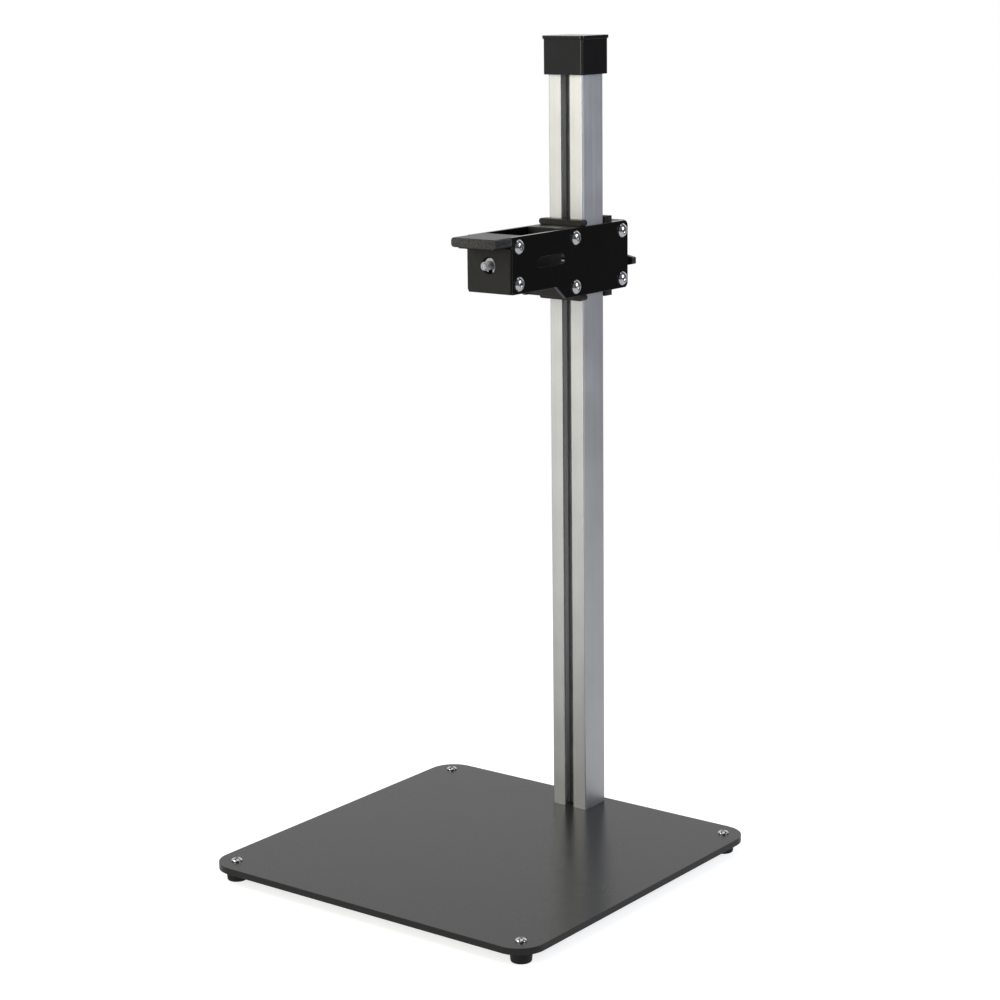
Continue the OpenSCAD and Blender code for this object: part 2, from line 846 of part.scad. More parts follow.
base_plate();
rubber_feet();
foot_screws();
foot_washers();
foot_nuts();
column();
column_screws();
column_cap();
right_side_plate();
left_side_plate();
right_plate_bolts();
left_plate_bolts();
nose_block();
nose_pad();
mount_face_pad();
front_block();
rear_block();
front_slide_pad();
right_glide_strip();
left_glide_strip();
brake_lining();
brake_plate();
lock_screw();
lock_knob();
mount_screw();
mount_screw_knob();
mount_screw_clip();
mount_screw_washer();
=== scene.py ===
import json
import math
import bmesh
import bpy
from mathutils import Matrix, Vector

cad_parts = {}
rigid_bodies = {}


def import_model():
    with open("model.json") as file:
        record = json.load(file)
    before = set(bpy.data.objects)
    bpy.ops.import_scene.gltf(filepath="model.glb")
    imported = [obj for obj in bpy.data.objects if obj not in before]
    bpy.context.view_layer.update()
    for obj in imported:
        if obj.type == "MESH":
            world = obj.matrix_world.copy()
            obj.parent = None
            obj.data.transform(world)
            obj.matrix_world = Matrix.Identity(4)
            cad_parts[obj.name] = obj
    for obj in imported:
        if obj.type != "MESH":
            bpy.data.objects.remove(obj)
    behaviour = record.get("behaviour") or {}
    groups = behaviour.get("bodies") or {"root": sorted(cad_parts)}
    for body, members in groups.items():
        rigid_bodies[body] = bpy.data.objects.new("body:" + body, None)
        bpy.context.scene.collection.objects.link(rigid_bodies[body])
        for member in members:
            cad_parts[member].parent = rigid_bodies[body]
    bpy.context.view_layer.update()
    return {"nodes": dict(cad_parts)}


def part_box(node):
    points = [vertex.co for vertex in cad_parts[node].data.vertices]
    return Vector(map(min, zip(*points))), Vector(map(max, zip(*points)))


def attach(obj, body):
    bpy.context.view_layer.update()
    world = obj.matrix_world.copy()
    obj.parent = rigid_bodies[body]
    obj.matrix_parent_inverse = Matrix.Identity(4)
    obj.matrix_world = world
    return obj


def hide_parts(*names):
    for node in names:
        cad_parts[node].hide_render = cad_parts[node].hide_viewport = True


# A copy stand: a sheet baseboard on rubber feet, a slotted column and a friction arm.
# Metres, in the frame of the CAD parts: origin on the work surface, +Y towards the column.
# The dictionaries of the stand's pieces are in mm and degrees.

for leftover in list(bpy.data.objects):
    bpy.data.objects.remove(leftover)
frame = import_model()
mm = 0.001
print("frame loaded with", len(frame["nodes"]), "parts")


# Camera

view = {
    "azimuth": 37.286,  # degrees round the stand, 0 looks along +Y
    "elevation": 12.328,
    "roll": -0.691,
    "distance": 1.7751,
    "aim": Vector((-0.02045, 0.05222, 0.24676)),
    "lens": 87.658,
    "sensor": 36,
    "clipEnd": 30,
}


def addCamera(look):
    around, up = math.radians(look["azimuth"]), math.radians(look["elevation"])
    back = Vector((math.sin(around) * math.cos(up), -math.cos(around) * math.cos(up), math.sin(up)))
    right = Vector((math.cos(around), math.sin(around), 0))
    facing = Matrix((right, back.cross(right), back)).transposed().to_4x4()
    facing = facing @ Matrix.Rotation(math.radians(look["roll"]), 4, "Z")
    data = bpy.data.cameras.new("viewpoint")
    data.lens = look["lens"]
    data.sensor_width = look["sensor"]
    data.clip_end = look["clipEnd"]
    camera = bpy.data.objects.new("viewpoint", data)
    camera.matrix_world = Matrix.Translation(look["aim"] + look["distance"] * back) @ facing
    bpy.context.scene.collection.objects.link(camera)
    bpy.context.scene.camera = camera


addCamera(view)
bpy.context.scene.view_settings.view_transform = "Standard"
print("camera placed")


# Small tools for nodes and meshes

def linearOf(hexCode):
    channels = []
    for start in (1, 3, 5):
        c = int(hexCode[start:start + 2], 16) / 255
        channels.append(c / 12.92 if c <= 0.04045 else ((c + 0.055) / 1.055) ** 2.4)
    return tuple(channels) + (1.0,)


def addNode(tree, kind, inputs=None, **settings):
    # an input is a plain value or the socket that feeds it
    node = tree.nodes.new(kind)
    for key, value in settings.items():
        setattr(node, key, value)
    for key, value in (inputs or {}).items():
        if isinstance(value, bpy.types.NodeSocket):
            tree.links.new(value, node.inputs[key])
        else:
            node.inputs[key].default_value = value
    return node


def linked(name, mesh):
    piece = bpy.data.objects.new(name, mesh)
    bpy.context.scene.collection.objects.link(piece)
    return piece


def settled(piece):
    # live modifiers become plain mesh
    graph = bpy.context.evaluated_depsgraph_get()
    made = bpy.data.meshes.new_from_object(
        piece.evaluated_get(graph), preserve_all_data_layers=True, depsgraph=graph)
    piece.modifiers.clear()
    piece.data = made
    return piece


def smoothed(piece, sharpAngle=40):
    # smooth curves, while large flat faces keep their own normal
    piece.data.shade_smooth()
    piece.data.set_sharp_from_angle(angle=math.radians(sharpAngle))
    weighted = piece.modifiers.new("flatFaces", "WEIGHTED_NORMAL")
    weighted.keep_sharp = True
    return settled(piece)


def rounded(piece, edge, segments=3, fromAngle=33):
    bevel = piece.modifiers.new("edges", "BEVEL")
    bevel.width = edge * mm
    bevel.segments = segments
    bevel.limit_method = "ANGLE"
    bevel.angle_limit = math.radians(fromAngle)
    bevel.miter_outer = "MITER_ARC"
    return settled(piece)


def cadCopy(node, name, weld=0.001 * mm, flatWithin=0.3):
    # the CAD part's shape as joined faces, with triangles dissolved that are flat within degrees
    mesh = frame["nodes"][node].data.copy()
    mesh.materials.clear()
    work = bmesh.new()
    work.from_mesh(mesh)
    bmesh.ops.remove_doubles(work, verts=work.verts, dist=weld)
    bmesh.ops.dissolve_limit(
        work, angle_limit=math.radians(flatWithin), verts=work.verts, edges=work.edges)
    work.to_mesh(mesh)
    work.free()
    if "custom_normal" in mesh.attributes:
        mesh.attributes.remove(mesh.attributes["custom_normal"])
    return linked(name, mesh)


def solidOf(name, points, faces, weld=None):
    # a closed mesh with its faces outwards; a weld also joins its seams and caps its ends
    mesh = bpy.data.meshes.new(name)
    mesh.from_pydata(points, [], faces)
    work = bmesh.new()
    work.from_mesh(mesh)
    if weld:
        bmesh.ops.remove_doubles(work, verts=work.verts, dist=weld)
        openEdges = [edge for edge in work.edges if edge.is_boundary]
        bmesh.ops.holes_fill(work, edges=openEdges, sides=0)
    bmesh.ops.recalc_face_normals(work, faces=work.faces)
    work.to_mesh(mesh)
    work.free()
    return linked(name, mesh)


def ringStack(name, rings, closed=False):
    # rings with equal point counts, bridged by quads; open stacks get end faces
    count = len(rings[0])
    points = [tuple(p) for ring in rings for p in ring]
    faces = []
    for k in range(len(rings) if closed else len(rings) - 1):
        low, high = k * count, (k + 1) % len(rings) * count
        for i in range(count):
            j = (i + 1) % count
            faces.append((low + i, low + j, high + j, high + i))
    if not closed:
        faces.append(tuple(reversed(range(count))))
        faces.append(tuple(range((len(rings) - 1) * count, len(rings) * count)))
    return solidOf(name, points, faces)


def circle(radius, height, steps=48):
    turns = [i * math.tau / steps for i in range(steps)]
    return [Vector((radius * math.cos(t), radius * math.sin(t), height)) for t in turns]


def hexagon(acrossFlats, height, steps=48):
    # a six-sided ring with as many points as a circle, its corners among them
    points = []
    for i in range(steps):
        turn = i * math.tau / steps
        fromCorner = turn % (math.pi / 3) - math.pi / 6
        radius = acrossFlats / 2 / math.cos(fromCorner)
        points.append(Vector((radius * math.cos(turn), radius * math.sin(turn), height)))
    return points


def roundedRect(width, depth, radius, height, steps=6):
    points = []
    for corner, (sx, sy) in enumerate([(1, 1), (-1, 1), (-1, -1), (1, -1)]):
        for k in range(steps + 1):
            turn = (corner + k / steps) * math.pi / 2
            x = sx * (width / 2 - radius) + radius * math.cos(turn)
            y = sy * (depth / 2 - radius) + radius * math.sin(turn)
            points.append(Vector((x, y, height)))
    return points


def turned(name, profile, steps=48, closed=False):
    return ringStack(name, [circle(r, z, steps) for r, z in profile], closed)


def combined(piece, other, operation="UNION"):
    cut = piece.modifiers.new("combine", "BOOLEAN")
    cut.operation = operation
    cut.object = other
    cut.solver = "EXACT"
    settled(piece)
    bpy.data.objects.remove(other)
    return piece


screwThread = {
    # a 60 degree thread, as shares of its pitch: depth, flat crest and flank
    "depth": 0.61, "crest": 0.125, "flank": 0.3125,
    "weld": 0.002,  # mm
    "overlap": 0.3,  # mm that a rod reaches into its head
}


def threadedRod(name, diameter, pitch, low, high, steps=24, perPitch=8):
    # right-hand: rows climb with the helix and are held between both ends
    crest = diameter / 2
    depth = screwThread["depth"] * pitch
    flat, flank = screwThread["crest"], screwThread["flank"]
    points, faces = [], []
    rows = int((high - low) / pitch + 2) * perPitch
    for k in range(rows + 1):
        share = k / perPitch % 1
        down = min(max((share - flat) / flank, 0), 1)
        up = min(max((share - 1 + flank) / flank, 0), 1)
        for i in range(steps + 1):
            turn = i * math.tau / steps
            height = low + (k / perPitch - 1 + i / steps) * pitch
            height = min(max(height, low), high)
            fromEnd = min(height - low, high - height)
            radius = min(crest - depth * (down - up), crest - depth + fromEnd)
            points.append((radius * math.cos(turn), radius * math.sin(turn), height))
    for k in range(rows):
        for i in range(steps):
            a = k * (steps + 1) + i
            faces.append((a, a + 1, a + steps + 2, a + steps + 1))
    return solidOf(name, points, faces, screwThread["weld"] * mm)


def laidAlong(piece, axis, place=(0, 0, 0)):
    # turns a piece made along +Z so that it points along an axis, and moves it there
    turn = Vector((0, 0, 1)).rotation_difference(Vector(axis)).to_matrix().to_4x4()
    piece.data.transform(Matrix.Translation(Vector(place)) @ turn)
    return piece


# Finishes
# colour and shade are the lightest and darkest tone, roughness its lowest and highest value.
# grain is the fine pattern and patch the broad one, both in mm; bump is the grain's height in mm.
# tones are the values of the pattern that give shade and colour: the closer, the harder the grain.

finishes = {
    # sheet steel under a satin powder coat: black, with the fine orange peel of the melted powder
    "powderCoatedSteel": {
        "colour": "#202021", "shade": "#1b1b1c", "metallic": 0, "ior": 1.37,
        "roughness": (0.24, 0.28), "grain": 0.7, "patch": 40, "bump": 0.004,
    },
    # moulded rubber: matt and slightly dusty black
    "mouldedRubber": {
        "colour": "#121213", "shade": "#0c0c0d", "metallic": 0, "ior": 1.36,
        "roughness": (0.5, 0.65), "grain": 0.5, "patch": 8, "bump": 0.01,
    },
    # chrome plate over a smooth cold-headed screw: sharp, bright reflections
    "chromePlatedSteel": {
        "colour": "#d8d9dc", "shade": "#c8cacd", "metallic": 1, "ior": None,
        "roughness": (0.04, 0.08), "grain": 0.6, "patch": 3, "bump": 0.002,
    },
    # zinc plate: greyer than chrome, and softly clouded
    "zincPlatedSteel": {
        "colour": "#b9bbc0", "shade": "#a4a6aa", "metallic": 1, "ior": None,
        "roughness": (0.25, 0.38), "grain": 0.5, "patch": 3, "bump": 0.004,
    },
    # clear anodised extrusion: satin, with faint die lines along its length
    "anodisedAluminium": {
        "colour": "#c9cacd", "shade": "#bfc0c3", "metallic": 1, "ior": None,
        "roughness": (0.42, 0.5), "grain": 0.8, "patch": 30, "bump": 0.002,
        "stretch": (1, 1, 0.004),
    },
    # moulded ABS with the fine spark texture of its mould
    "mouldedAbs": {
        "colour": "#131314", "shade": "#101011", "metallic": 0, "ior": 1.45,
        "roughness": (0.12, 0.16), "grain": 0.4, "patch": 12, "bump": 0.001,
    },
    # gloss black paint on steel plate: deep black that mirrors its surroundings
    "glossBlackPaint": {
        "colour": "#070708", "shade": "#050505", "metallic": 0, "ior": 1.5,
        "roughness": (0.1, 0.13), "grain": 1.2, "patch": 25, "bump": 0.002,
    },
    # coarsely blasted and black anodised aluminium: a glinting grain, drawn as coarse as it shows
    "blastedBlackAluminium": {
        "colour": "#424243", "shade": "#0a0a0b", "metallic": 0, "ior": 1.4,
        "roughness": (0.34, 0.44), "grain": 1.0, "patch": 70, "bump": 0.25, "tones": (0.8, 1.25),
    },
    # same black anodised aluminium as the nose block, drawn darker: painted shade between the side
    # plates
    "blackAluminiumPaintedShade": {
        "colour": "#1c1c1d", "shade": "#111112", "metallic": 0, "ior": 1.42,
        "roughness": (0.36, 0.44), "grain": 0.6, "patch": 20, "bump": 0.02,
    },
    # machined acetal: dark brownish grey, its milled grain drawn as coarse as it shows
    "machinedAcetal": {
        "colour": "#2f2a28", "shade": "#080706", "metallic": 0, "ior": 1.36,
        "roughness": (0.34, 0.44), "grain": 1.0, "patch": 70, "bump": 0.2, "tones": (0.8, 1.25),
    },
    # natural nylon: milky white and waxy
    "naturalNylon": {
        "colour": "#dcdad2", "shade": "#d2d0c8", "metallic": 0, "ior": 1.53,
        "roughness": (0.35, 0.45), "grain": 0.8, "patch": 10, "bump": 0.003,
    },
    # glass filled nylon: black, satin, with faint flow marks
    "filledNylon": {
        "colour": "#232324", "shade": "#1b1b1c", "metallic": 0, "ior": 1.53,
        "roughness": (0.3, 0.42), "grain": 0.5, "patch": 6, "bump": 0.006,
    },
}
plainTones = (0.7, 1.3)  # both patterns together lie about here


def makeFinish(name, look):
    material = bpy.data.materials.new(name)
    material.use_nodes = True
    tree = material.node_tree
    tree.nodes.clear()
    place = addNode(tree, "ShaderNodeTexCoord").outputs["Object"]
    along = addNode(tree, "ShaderNodeMapping", {
        "Vector": place, "Scale": look.get("stretch", (1, 1, 1)),
    })
    grain = addNode(tree, "ShaderNodeTexNoise", {
        "Vector": along.outputs["Vector"], "Scale": 1 / (look["grain"] * mm), "Detail": 2.0,
    }).outputs["Fac"]
    patch = addNode(tree, "ShaderNodeTexNoise", {
        "Vector": place, "Scale": 1 / (look["patch"] * mm), "Detail": 3.0,
    }).outputs["Fac"]
    both = addNode(tree, "ShaderNodeMath", {0: grain, 1: patch}, operation="ADD").outputs[0]
    tones = look.get("tones", plainTones)
    tone = addNode(tree, "ShaderNodeMapRange", {
        "Value": both, "From Min": tones[0], "From Max": tones[1],
    }).outputs["Result"]
    ramp = addNode(tree, "ShaderNodeValToRGB", {"Fac": tone})
    ramp.color_ramp.elements[0].color = linearOf(look["shade"])
    ramp.color_ramp.elements[1].color = linearOf(look["colour"])
    roughness = addNode(tree, "ShaderNodeMapRange", {
        "Value": both, "From Min": plainTones[0], "From Max": plainTones[1],
        "To Min": look["roughness"][0], "To Max": look["roughness"][1],
    }).outputs["Result"]
    bump = addNode(tree, "ShaderNodeBump", {
        "Height": grain, "Strength": 1.0, "Distance": look["bump"] * mm,
    }).outputs["Normal"]
    surface = addNode(tree, "ShaderNodeBsdfPrincipled", {
        "Base Color": ramp.outputs["Color"], "Metallic": look["metallic"],
        "Roughness": roughness, "Normal": bump,
    })
    if look["ior"]:
        surface.inputs["IOR"].default_value = look["ior"]
    addNode(tree, "ShaderNodeOutputMaterial", {"Surface": surface.outputs["BSDF"]})
    return material


materials = {name: makeFinish(name, look) for name, look in finishes.items()}
print("finishes made:", ", ".join(materials))


def fitted(piece, body, finish, slot, *nodes):
    # the last step for each piece: its finish, the body it rides on and the nodes it stands for
    piece.data.materials.clear()
    piece.data.materials.append(materials[finish])
    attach(piece, body)
    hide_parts(*nodes)
    return piece


# What repeats sits on points, by one Geometry Nodes tree

def placingTree():
    tree = bpy.data.node_groups.new("placeOnPoints", "GeometryNodeTree")
    sockets = [
        ("Places", "NodeSocketGeometry"), ("Piece", "NodeSocketObject"),
        ("Turn", "NodeSocketVector"), ("Spin spread", "NodeSocketFloat"),
        ("Seed", "NodeSocketInt"), ("Finish", "NodeSocketMaterial"),
    ]
    for name, kind in sockets:
        tree.interface.new_socket(name, in_out="INPUT", socket_type=kind)
    tree.interface.new_socket("Pieces", in_out="OUTPUT", socket_type="NodeSocketGeometry")
    given = addNode(tree, "NodeGroupInput").outputs
    points = addNode(tree, "GeometryNodeMeshToPoints", {"Mesh": given["Places"]}).outputs[0]
    shape = addNode(tree, "GeometryNodeObjectInfo", {"Object": given["Piece"]}).outputs["Geometry"]
    turn = addNode(tree, "FunctionNodeEulerToRotation", {"Euler": given["Turn"]}).outputs[0]
    copies = addNode(tree, "GeometryNodeInstanceOnPoints", {
        "Points": points, "Instance": shape, "Rotation": turn,
    }).outputs[0]
    spin = addNode(tree, "FunctionNodeRandomValue", {
        3: given["Spin spread"], "Seed": given["Seed"],  # socket 3 is the greatest value
    }, data_type="FLOAT")
    spun = addNode(tree, "ShaderNodeCombineXYZ", {"Z": spin.outputs[1]}).outputs[0]
    copies = addNode(tree, "GeometryNodeRotateInstances", {
        "Instances": copies, "Rotation": spun, "Local Space": True,
    }).outputs[0]
    real = addNode(tree, "GeometryNodeRealizeInstances", {"Geometry": copies}).outputs[0]
    dressed = addNode(tree, "GeometryNodeSetMaterial", {
        "Geometry": real, "Material": given["Finish"],
    })
    addNode(tree, "NodeGroupOutput", {"Pieces": dressed.outputs[0]})
    return tree


placeOnPoints = placingTree()


def runTree(host, tree, values):
    # inputs are set by their sockets' identifiers before the first evaluation
    modifier = host.modifiers.new(tree.name, "NODES")
    modifier.node_group = tree
    for item in tree.interface.items_tree:
        if item.in_out == "INPUT" and item.name in values:
            modifier[item.identifier] = values[item.name]
    return settled(host)


def repeated(name, template, places, finish, turn=(0, 0, 0), spin=0.0, seed=1):
    mesh = bpy.data.meshes.new(name)
    mesh.from_pydata([tuple(p) for p in places], [], [])
    host = linked(name, mesh)
    runTree(host, placeOnPoints, {
        "Piece": template, "Turn": turn, "Spin spread": spin, "Seed": seed,
        "Finish": materials[finish],
    })
    bpy.data.objects.remove(template)
    return host


# Baseboard

baseboard = {"edge": 0.5}

board = smoothed(rounded(cadCopy("base_plate", "baseboard"), baseboard["edge"]))
fitted(board, "stand", "powderCoatedSteel", "powder_coated_steel", "base_plate")
print("baseboard done")


# Feet, with their screws, washers and nuts

foot = {
    "web": 2.0, "pocket": 9.4, "hole": 4.4, "taper": 0.75,
    "shoulder": 0.35, "lip": 0.9, "mouth": 0.3,  # rounding at the board, the table and the pocket
}
footScrew = {
    "diameter": 3.9, "pitch": 0.7, "length": 10, "head": 7.7, "headHeight": 2.5, "rim": 0.85,
    "recess": 4.4, "recessFloor": 2.6, "slot": 1.0, "slotFloor": 0.75, "recessDepth": 1.5,
    "under": 0.2, "recessEdge": 0.08,  # roundings under the head and at the cross
    "crownEnd": 0.2,  # radius where the crown is closed
    "clear": 0.3,  # how far the cross cutter stands over the head
    "turn": 20, "turnSpread": 40,  # degrees that the crosses stand at
}
footNut = {
    "acrossFlats": 7, "height": 2.2, "hole": 4, "chamfer": 0.35, "chamferSlope": 1.6,
    "holeEdge": 0.3, "turnSpread": 60,
}
footWasher = {"outer": 9, "hole": 4.4, "height": 0.8, "edge": 0.12}

feetLow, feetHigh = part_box("rubber_feet")
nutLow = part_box("foot_nuts")[0]
washerLow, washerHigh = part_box("foot_washers")
footX = washerHigh.x - footWasher["outer"] * mm / 2
footY = washerHigh.y - footWasher["outer"] * mm / 2
footPlaces = [(sx * footX, sy * footY) for sx in (-1, 1) for sy in (-1, 1)]


def arc(centreR, centreZ, radius, startTurn, endTurn, steps=5):
    # profile points on an arc, in degrees
    points = []
    for k in range(steps + 1):
        turn = math.radians(startTurn + (endTurn - startTurn) * k / steps)
        points.append((centreR + radius * math.cos(turn), centreZ + radius * math.sin(turn)))
    return points


def makeFoot():
    top, bottom = feetHigh.z, feetLow.z
    topRadius = feetHigh.x - footX
    bottomRadius = topRadius - foot["taper"] * mm
    lip, shoulder = foot["lip"] * mm, foot["shoulder"] * mm
    pocket, hole = foot["pocket"] * mm / 2, foot["hole"] * mm / 2
    web = top - foot["web"] * mm
    soft = foot["mouth"] * mm
    profile = [(hole, top), (topRadius - shoulder, top)]
    profile += arc(topRadius - shoulder, top - shoulder, shoulder, 80, 0, 3)
    profile += arc(bottomRadius - lip, bottom + lip, lip, -4, -90)
    profile += arc(pocket + soft, bottom + soft, soft, -90, -180, 3)
    profile.append((pocket, web + soft))
    profile += arc(pocket - soft, web - soft, soft, 0, 90, 3)
    profile.append((hole, web))
    return turned("footShape", profile, 64, closed=True)


def crossBar(size, top, alongX):
    # one bar of a tapered cross, wide where it meets the head's crown
    work = bmesh.new()
    for vertex in bmesh.ops.create_cube(work, size=1)["verts"]:
        isTop = vertex.co.z > 0
        length = size["recess"] if isTop else size["recessFloor"]
        width = size["slot"] if isTop else size["slotFloor"]
        vertex.co.x *= (length if alongX else width) * mm
        vertex.co.y *= (width if alongX else length) * mm
        vertex.co.z = top + (size["clear"] if isTop else -size["recessDepth"]) * mm
    mesh = bpy.data.meshes.new("crossBar")
    work.to_mesh(mesh)
    work.free()
    return linked("crossBar", mesh)


def domeProfile(diameter, height, rim, innerRadius, steps=8):
    # from the rim up over the crown, as far in as innerRadius
    crown = height - rim
    ball = (diameter * diameter / 4 + crown * crown) / (2 * crown)
    profile = []
    for k in range(steps + 1):
        radius = diameter / 2 + (innerRadius - diameter / 2) * k / steps
        profile.append((radius, height - ball + math.sqrt(ball * ball - radius * radius)))
    return profile


def shankOf(size):
    # a threaded shank from a head's underside at zero down to its length
    return threadedRod(
        "shank", size["diameter"] * mm, size["pitch"] * mm,
        -size["length"] * mm, screwThread["overlap"] * mm)


def makeFootScrew():
    size = footScrew
    head, high, rim = size["head"] * mm, size["headHeight"] * mm, size["rim"] * mm
    soft = size["under"] * mm
    profile = [(head / 2 - soft, 0), (head / 2, soft)]
    profile += domeProfile(head, high, rim, size["crownEnd"] * mm, 12)
    screw = turned("footScrewShape", profile, 48)
    for alongX in (True, False):
        combined(screw, crossBar(size, high, alongX), "DIFFERENCE")
    rounded(screw, size["recessEdge"], segments=2, fromAngle=40)
    return smoothed(combined(screw, shankOf(size)))


def makeNut():
    size = footNut
    flats, high = size["acrossFlats"] * mm, size["height"] * mm
    chamfer, hole = size["chamfer"] * mm, size["hole"] * mm / 2
    soft = size["holeEdge"] * mm
    rings = []
    for height in (0, chamfer / 2, chamfer, high - chamfer, high - chamfer / 2, high):
        fromFace = min(height, high - height)
        limit = flats / 2 + fromFace * size["chamferSlope"]
        ring = hexagon(flats, height)
        for point in ring:
            point.xy *= min(1, limit / point.xy.length)
        rings.append(ring)
    rings += [circle(hole + soft, high), circle(hole, high - soft)]
    rings += [circle(hole, soft), circle(hole + soft, 0)]
    return smoothed(ringStack("nutShape", rings, closed=True), sharpAngle=30)


def makeWasher(size):
    outer, hole, high, edge = (size[key] * mm for key in ("outer", "hole", "height", "edge"))
    profile = [(hole / 2, edge), (hole / 2 + edge, 0), (outer / 2 - edge, 0), (outer / 2, edge)]
    profile += [(outer / 2, high - edge), (outer / 2 - edge, high)]
    profile += [(hole / 2 + edge, high), (hole / 2, high - edge)]
    return smoothed(turned("washerShape", profile, 64, closed=True))


def aboveFeet(height):
    return [(x, y, height) for x, y in footPlaces]


feet = repeated("rubberFeet", smoothed(makeFoot()), aboveFeet(0), finish="mouldedRubber")
fitted(feet, "stand", "mouldedRubber", "black_rubber", "rubber_feet")
footScrews = repeated(
    "footScrews", makeFootScrew(), aboveFeet(0),
    turn=(0, 0, math.radians(footScrew["turn"])), finish="chromePlatedSteel",
    spin=math.radians(footScrew["turnSpread"]), seed=3)
fitted(footScrews, "stand", "chromePlatedSteel", "chromed_steel", "foot_screws")
footNuts = repeated(
    "footNuts", makeNut(), aboveFeet(nutLow.z),
    finish="zincPlatedSteel", spin=math.radians(footNut["turnSpread"]), seed=5)
fitted(footNuts, "stand", "zincPlatedSteel", "zinc_plated_steel", "foot_nuts")
footWashers = repeated(
    "footWashers", makeWasher(footWasher), aboveFeet(washerLow.z), finish="zincPlatedSteel")
fitted(footWashers, "stand", "zincPlatedSteel", "zinc_plated_steel", "foot_washers")
print("feet and their fasteners done")


# Column, the screws that hold it and its cap

columnLook = {"edge": 0.22}
columnLow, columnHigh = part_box("column")
columnY = (columnLow.y + columnHigh.y) / 2

column = smoothed(rounded(cadCopy("column", "columnExtrusion"), columnLook["edge"], segments=2))
fitted(column, "stand", "anodisedAluminium", "anodised_aluminium", "column")

columnScrew = {
    "head": 9.2, "diameter": 4.4, "pitch": 0.8, "length": 20, "rim": 0.25, "rimEdge": 0.15,
    "socket": 3, "socketDepth": 1.6, "socketTip": 0.3, "mouth": 0.25,
    "inHead": 0.2,  # how far the thread starts inside the cone
    "coneEnd": 0.9, "upright": 0.6,  # shares of the thread's radius and of the rim
    "portX": 11.6, "portY": 9, "turnSpread": 60,
}


def makeColumnScrew():
    # made upside down: the flat head lies at the board's underside and the thread points up
    size = columnScrew
    head, rim, thread = size["head"] * mm / 2, size["rim"] * mm, size["diameter"] * mm / 2
    socket, deep, tip = size["socket"] * mm, size["socketDepth"] * mm, size["socketTip"] * mm
    cone = head - thread
    soft = size["rimEdge"] * mm
    rings = [circle(thread * size["coneEnd"], cone + rim), circle(thread, cone)]
    rings += [circle(head - soft / 2, rim), circle(head, rim * size["upright"])]
    rings += [circle(head - soft, 0)]
    rings += [hexagon(socket + size["mouth"] * mm, 0), hexagon(socket, soft)]
    rings += [hexagon(socket, deep), circle(tip, deep + tip)]
    screw = ringStack("columnScrewShape", rings)
    rod = threadedRod(
        "rod", 2 * thread, size["pitch"] * mm, cone - size["inHead"] * mm, size["length"] * mm)
    return smoothed(combined(screw, rod), sharpAngle=35)


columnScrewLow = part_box("column_screws")[0]
portX, portY = columnScrew["portX"] * mm, columnScrew["portY"] * mm
columnScrews = repeated(
    "columnScrews", makeColumnScrew(),
    [(sx * portX, columnY + sy * portY, columnScrewLow.z) for sx in (-1, 1) for sy in (-1, 1)],
    finish="zincPlatedSteel", spin=math.radians(columnScrew["turnSpread"]), seed=8)
fitted(columnScrews, "stand", "zincPlatedSteel", "zinc_plated_steel", "column_screws")

cap = {
    "rim": 2.6, "rimOut": 1, "top": 2.3, "wallX": 2.2, "wallY": 3.1,  # walls with their fit
    "corner": 1.5, "edge": 0.4, "bend": 0.3,  # bend: share of an edge that its middle is in
    "neck": 0.7, "neckOut": 0.25, "neckEnd": 0.1,  # the soft step under the rim
    "crown": 0.12, "crownIn": 6,  # the top's slight rise, and how far in it is level
    "leastCorner": 0.2, "hollowCorner": 0.3, "mouthCorner": 0.4,
}


def makeCap():
    low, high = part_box("column_cap")
    edge, corner, out = cap["edge"] * mm, cap["corner"] * mm, cap["rimOut"] * mm
    width, depth = high.x - low.x - 2 * out, high.y - low.y - 2 * out
    rimLow = high.z - cap["rim"] * mm
    crown, least = cap["crown"] * mm, cap["leastCorner"] * mm
    bend = cap["bend"] * edge
    # height and how far the wall stands out there, from the open foot to the top
    levels = [(low.z, -edge), (low.z + bend, -bend), (low.z + edge, 0)]
    levels += [(rimLow - cap["neck"] * mm, 0), (rimLow - cap["neckEnd"] * mm, cap["neckOut"] * out)]
    levels += [(rimLow, out - edge), (rimLow + bend, out - bend), (rimLow + edge, out)]
    levels += [(high.z - edge - crown, out), (high.z - bend - crown, out - bend)]
    levels += [(high.z - crown, out - edge), (high.z, -cap["crownIn"] * mm)]
    rings = [
        roundedRect(width + 2 * o, depth + 2 * o, max(corner + o, least), z) for z, o in levels]
    hollowW, hollowD = width - 2 * cap["wallX"] * mm, depth - 2 * cap["wallY"] * mm
    ceiling = high.z - cap["top"] * mm
    inner, mouth = cap["hollowCorner"] * mm, cap["mouthCorner"] * mm
    hollow = [roundedRect(hollowW, hollowD, inner, z) for z in (ceiling, low.z + edge)]
    hollow.append(roundedRect(hollowW + edge, hollowD + edge, mouth, low.z))
    shell = ringStack("columnCap", hollow + rings)
    shell.data.transform(Matrix.Translation((0, columnY, 0)))
    return smoothed(shell)


fitted(makeCap(), "stand", "mouldedAbs", "moulded_abs", "column_cap")
print("column and cap done")


# Arm: side plates, blocks and pads

